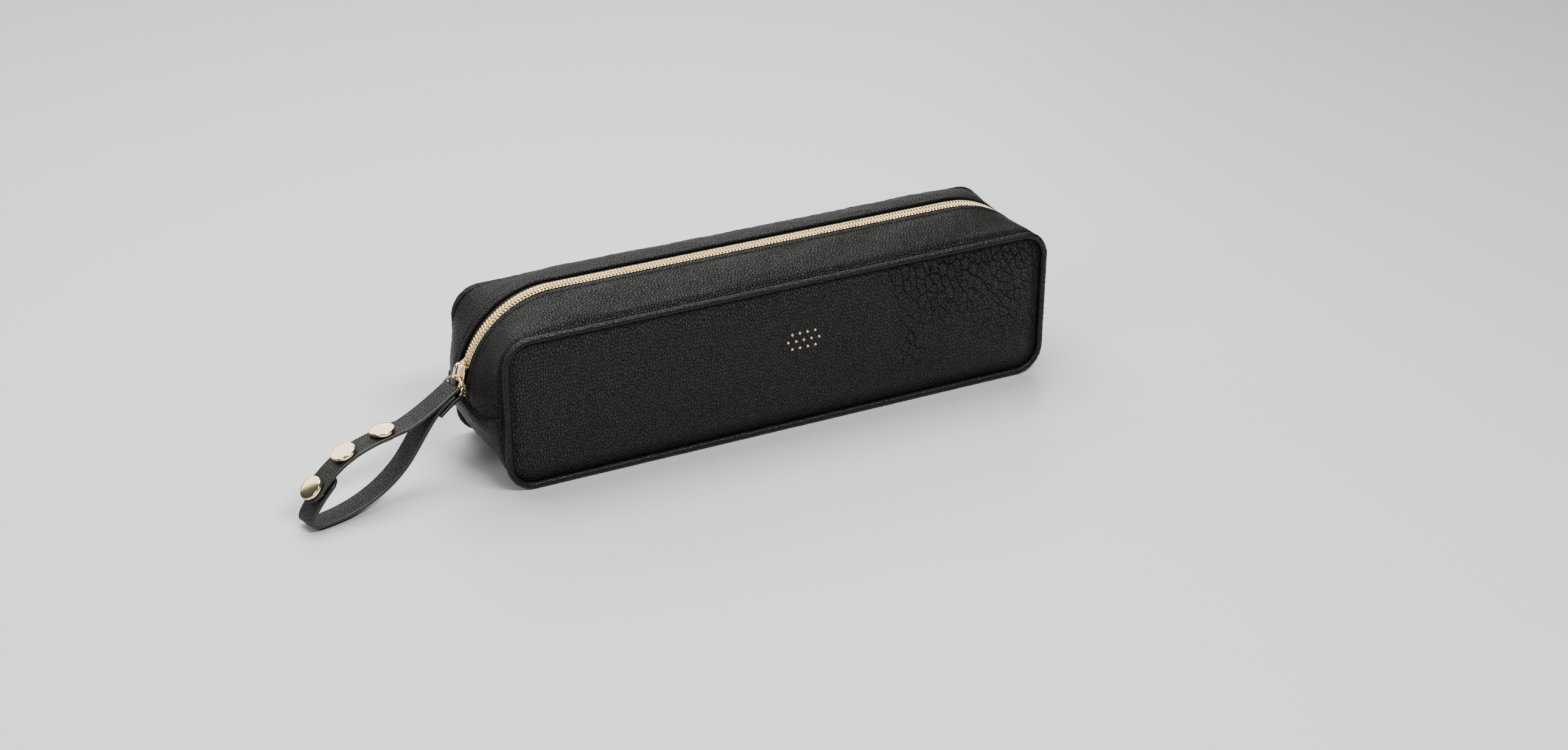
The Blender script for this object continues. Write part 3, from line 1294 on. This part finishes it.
# ---------------------------------------------------------------- pull ring
def pull_ring():
    """A wire ring: a straight bar for the strap, narrowing to its apex at the slider."""
    wire_r, half = 0.72, STRAP_W / 2 + 1.25
    reach = np.linalg.norm(APEX - BAR)
    up = (APEX - BAR) / reach
    # (distance from the bar towards the apex, distance across), one half of the ring
    one_side = [(0, 4), (0, half - 1.3), (0.35, half - 0.35), (1.3, half), (2.9, half - 0.15),
                (4.4, half - 1.2), (6.1, half - 3.7), (7.2, half - 6.0), (reach, 0.9)]
    other_side = [(a, -b) for a, b in reversed(one_side)]
    ctrl = other_side[-2:] + [(0, 0)] + one_side + other_side[:-2]
    line = catmull(ctrl, 10, closed=True)
    path = BAR + line[:, 0:1] * up + line[:, 1:2] * W_AXIS
    heading = unit(np.roll(path, -1, 0) - np.roll(path, 1, 0))
    side = np.tile(np.cross(up, W_AXIS), (len(path), 1))
    side = unit(side - heading * (side * heading).sum(1, keepdims=True))
    angles = np.arange(14) / 14 * 2 * math.pi
    rings = path[:, None] + wire_r * (
        np.cos(angles)[None, :, None] * side[:, None]
        + np.sin(angles)[None, :, None] * np.cross(heading, side)[:, None])
    part = tube(rings, uv_grid(np.arange(len(path)) * 0.4, angles), closed=True)
    ob = make_mesh("pull_ring_wire", part, [RING_GOLD])
    register(ob, "zip_hardware", "pull_ring", ride="pull_ring")


# ---------------------------------------------------------------- slider
# Slider frame: x up along the zip, y across it, z outward.
SLIDER_OUT = np.array([-math.cos(SLIDER_ANGLE), 0, math.sin(SLIDER_ANGLE)])
SLIDER_ALONG = np.array([math.sin(SLIDER_ANGLE), 0, math.cos(SLIDER_ANGLE)])
SLIDER_FRAME = axes(SLIDER_ALONG, [0, 1, 0], SLIDER_OUT,
                    np.array([-END_X, 0, SEAM_Z]) + END_R * SLIDER_OUT)

# (x, y) outlines, the -y half of each
TOP_PLATE = [(-5.7, -3.3), (-4.9, -4.35), (-2.0, -4.6), (1.0, -4.5), (3.9, -3.9), (4.7, -2.6),
             (6.9, -0.35)]
BOTTOM_PLATE = [(-5.4, -3.2), (-4.6, -4.1), (3.4, -3.7), (4.6, -2.4)]
SLIDER_POST = [(-4.6, -0.5), (-2.0, -0.5)]
# (x, y, z) of the faceted roof: its foot, its shoulder, then the ridge along the middle
ROOF_POINTS = [(-4.4, -3.0, 1.3), (-4.4, 3.0, 1.3), (3.3, 2.7, 1.3), (3.3, -2.7, 1.3),
               (-3.7, -1.6, 2.05), (-3.7, 1.6, 2.05), (2.6, 1.4, 2.05), (2.6, -1.4, 2.05),
               (-3.5, 0, 2.3), (2.4, 0, 2.3)]
ROOF_FACES = [(0, 3, 2, 1), (0, 1, 5, 8, 4), (1, 2, 6, 5), (2, 3, 7, 9, 6), (3, 0, 4, 7),
              (4, 8, 9, 7), (8, 5, 6, 9)]
# (x, height above BAIL_Z) along the bail, from the upper foot to the lower
BAIL_Z = 1.95
BAIL_LINE = [(4.35, -0.9), (4.35, 0.4), (4.15, 1.6), (3.3, 2.55), (2.0, 2.95), (0, 3.0),
             (-2.4, 2.95), (-3.9, 2.6), (-4.75, 1.6), (-4.95, 0.4), (-4.85, -0.9)]


def both_halves(half):
    return half + [(x, -y) for x, y in reversed(half)]


def roof():
    bm = bmesh.new()
    verts = [bm.verts.new(Vector(point) * MM) for point in ROOF_POINTS]
    for face in ROOF_FACES:
        bm.faces.new([verts[i] for i in face])
    return bevelled_part(bm, width=0.12, segments=2)


def slider_flange(sign):
    start, end, half = sign * 4.0, sign * 3.75, 0.42
    outline = [(-4.9, start - half), (3.4, end - half), (3.4, end + half), (-4.9, start + half)]
    return bevelled_plate(outline, -0.95, 0.9, width=0.2, segments=2)


def slider_body():
    parts = [
        bevelled_plate(both_halves(TOP_PLATE), 0.5, 1.35, width=0.28, segments=3),
        roof(),
        slider_flange(-1),
        slider_flange(1),
        bevelled_plate(both_halves(BOTTOM_PLATE), -4.05, -3.05, width=0.25, segments=2),
        bevelled_plate(both_halves(SLIDER_POST), -3.2, 0.8, width=0.15, segments=1),
    ]
    ob = make_mesh("slider_body_part", place(merge(parts), SLIDER_FRAME), [SLIDER_GOLD],
                   smooth_shade=False)
    register(ob, "zip_hardware", "slider_body", ride="slider")


def slider_bail():
    """A flat arched band over the slider."""
    line = catmull([(x, BAIL_Z + z) for x, z in BAIL_LINE], 6, closed=False)
    path = np.stack([line[:, 0], 0 * line[:, 0], line[:, 1]], -1)
    across = np.array([0, 1.0, 0])
    normals = np.cross(unit(np.gradient(path, axis=0)), across)
    section = []
    for angle in np.linspace(0, 2 * math.pi, 16, endpoint=False):
        cos, sin = math.cos(angle), math.sin(angle)
        section.append((1.12 * math.copysign(abs(cos) ** 0.55, cos),
                        0.42 * math.copysign(abs(sin) ** 0.75, sin)))
    section = np.array(section)
    rings = path[:, None] + section[None, :, 0:1] * across \
        + section[None, :, 1:2] * normals[:, None]
    part = tube(rings, uv_grid(np.arange(len(line)) * 0.3, np.arange(16) * 0.3))
    ob = make_mesh("slider_bail_part", place(part, SLIDER_FRAME), [SLIDER_GOLD])
    register(ob, "zip_hardware", "slider_bail", ride="slider")


# ---------------------------------------------------------------- studs on the front panel
def front_studs():
    """Three rows of domed studs, 4, 5 and 4, seated on the padded leather."""
    lo, hi = box_mm("front_studs")
    pitch = (hi[0] - lo[0] - 1.6) / 4
    centre_x, centre_z = (lo[0] + hi[0]) / 2, (lo[2] + hi[2]) / 2
    profile = [(0, -0.6), (0.72, -0.6), (0.86, -0.05), (0.85, 0.12)]
    profile += [(0.84 * math.cos(angle), 0.10 + 0.52 * math.sin(angle))
                for angle in np.radians(np.linspace(15, 90, 6))]
    profile[-1] = (0, profile[-1][1])
    stud = lathe(profile, 24)
    panel_y, waves = y_span("front_panel")[1], panel_waves("front")
    parts = []
    for row in (-1, 0, 1):
        count = 5 - abs(row)
        for i in range(count):
            x = centre_x + (i - (count - 1) / 2) * pitch
            z = centre_z + row * pitch * 0.9
            y = panel_y + float(panel_rise(x, z - HEIGHT / 2, waves))
            parts.append(place(stud, axes([1, 0, 0], [0, 0, 1], [0, -1, 0], [x, -y, z])))
    ob = make_mesh("stud_lattice", merge(parts), [STUD_GOLD])
    register(ob, "stud_metal", "front_studs", ride="case")


# ---------------------------------------------------------------- pieces kept from the frame
def dress_kept_pieces():
    for name, material in (("base_board", BOARD), ("zip_top_stops", COIL_GOLD),
                           ("zip_bottom_stop", COIL_GOLD)):
        ob = frame["nodes"][name]
        if len(ob.material_slots) == 0:
            ob.data.materials.append(material)
        for slot in ob.material_slots:
            slot.material = material


# ---------------------------------------------------------------- floor, light, camera (metres)
def floor():
    bpy.ops.mesh.primitive_plane_add(size=8, location=(0, 0, 0))
    ob = bpy.context.object
    ob.name = "floor"
    ob.data.materials.append(Shader("floor_pale").finish({
        "Base Color": (0.60, 0.60, 0.61, 1),
        "Roughness": 0.42,
        "Specular IOR Level": 0.35,
    }))


def world():
    studio = bpy.data.worlds.new("studio")
    scene.world = studio
    studio.use_nodes = True
    background = studio.node_tree.nodes["Background"]
    background.inputs["Color"].default_value = (0.78, 0.80, 0.84, 1)
    background.inputs["Strength"].default_value = 0.13


def area_light(name, location, target, size, power, color=(1, 1, 1)):
    light = bpy.data.lights.new(name, "AREA")
    light.shape = "RECTANGLE"
    light.size, light.size_y = size
    light.energy = power
    light.color = color
    ob = bpy.data.objects.new(name, light)
    scene.collection.objects.link(ob)
    ob.location = location
    direction = Vector(target) - Vector(location)
    ob.rotation_euler = direction.to_track_quat("-Z", "Y").to_euler()


def lights():
    area_light("overhead", location=(0.0, 0.30, 1.05), target=(0, 0.0, 0.05),
               size=(1.2, 0.5), power=11)
    area_light("back_panel_light", location=(-0.05, 1.35, 0.85), target=(-0.05, 0, 0.05),
               size=(2.5, 1.1), power=17)
    area_light("key_left", location=(-1.15, -0.35, 0.85), target=(-0.05, 0, 0.05),
               size=(0.5, 0.5), power=6, color=(1.0, 0.985, 0.96))
    area_light("front_top", location=(0.15, -0.90, 1.15), target=(0.03, 0, 0.05),
               size=(0.7, 0.22), power=18.0, color=(0.97, 0.985, 1.0))


def camera():
    """Looks down on the front from the -X side."""
    azimuth, elevation, roll = (math.radians(a) for a in (-26.97, 26.99, 0.23))
    target, distance = Vector((0.00638, 0, 0.01638)), 1.4199
    data = bpy.data.cameras.new("camera")
    ob = bpy.data.objects.new("camera", data)
    scene.collection.objects.link(ob)
    scene.camera = ob
    data.sensor_fit = "HORIZONTAL"
    data.sensor_width = 36.0
    data.lens = 59.8136646
    data.shift_x = 0.010869565
    data.shift_y = -0.0021350932
    data.clip_start = 0.01
    data.clip_end = 50
    back = Vector((math.sin(azimuth) * math.cos(elevation),
                   -math.cos(azimuth) * math.cos(elevation), math.sin(elevation)))
    level = Vector((math.cos(azimuth), math.sin(azimuth), 0))
    upright = back.cross(level)
    right = level * math.cos(roll) + upright * math.sin(roll)
    up = -level * math.sin(roll) + upright * math.cos(roll)
    matrix = Matrix((right, up, back)).transposed().to_4x4()
    matrix.translation = target + back * distance
    ob.matrix_world = matrix


# ---------------------------------------------------------------- build
def build_sides(*pieces):
    for side, sign in SIDES:
        for piece in pieces:
            piece(side, sign)


build_sides(panel)
build_sides(piping)
build_sides(zip_gusset, zip_lining)
build_sides(coil, zip_tape)
lower_gusset()
lower_lining()
build_sides(panel_lining)
upper_band()
lower_band()
snaps()
pull_ring()
slider_body()
slider_bail()
front_studs()
dress_kept_pieces()
floor()
world()
lights()
camera()

scene.view_settings.look = "AgX - Medium High Contrast"
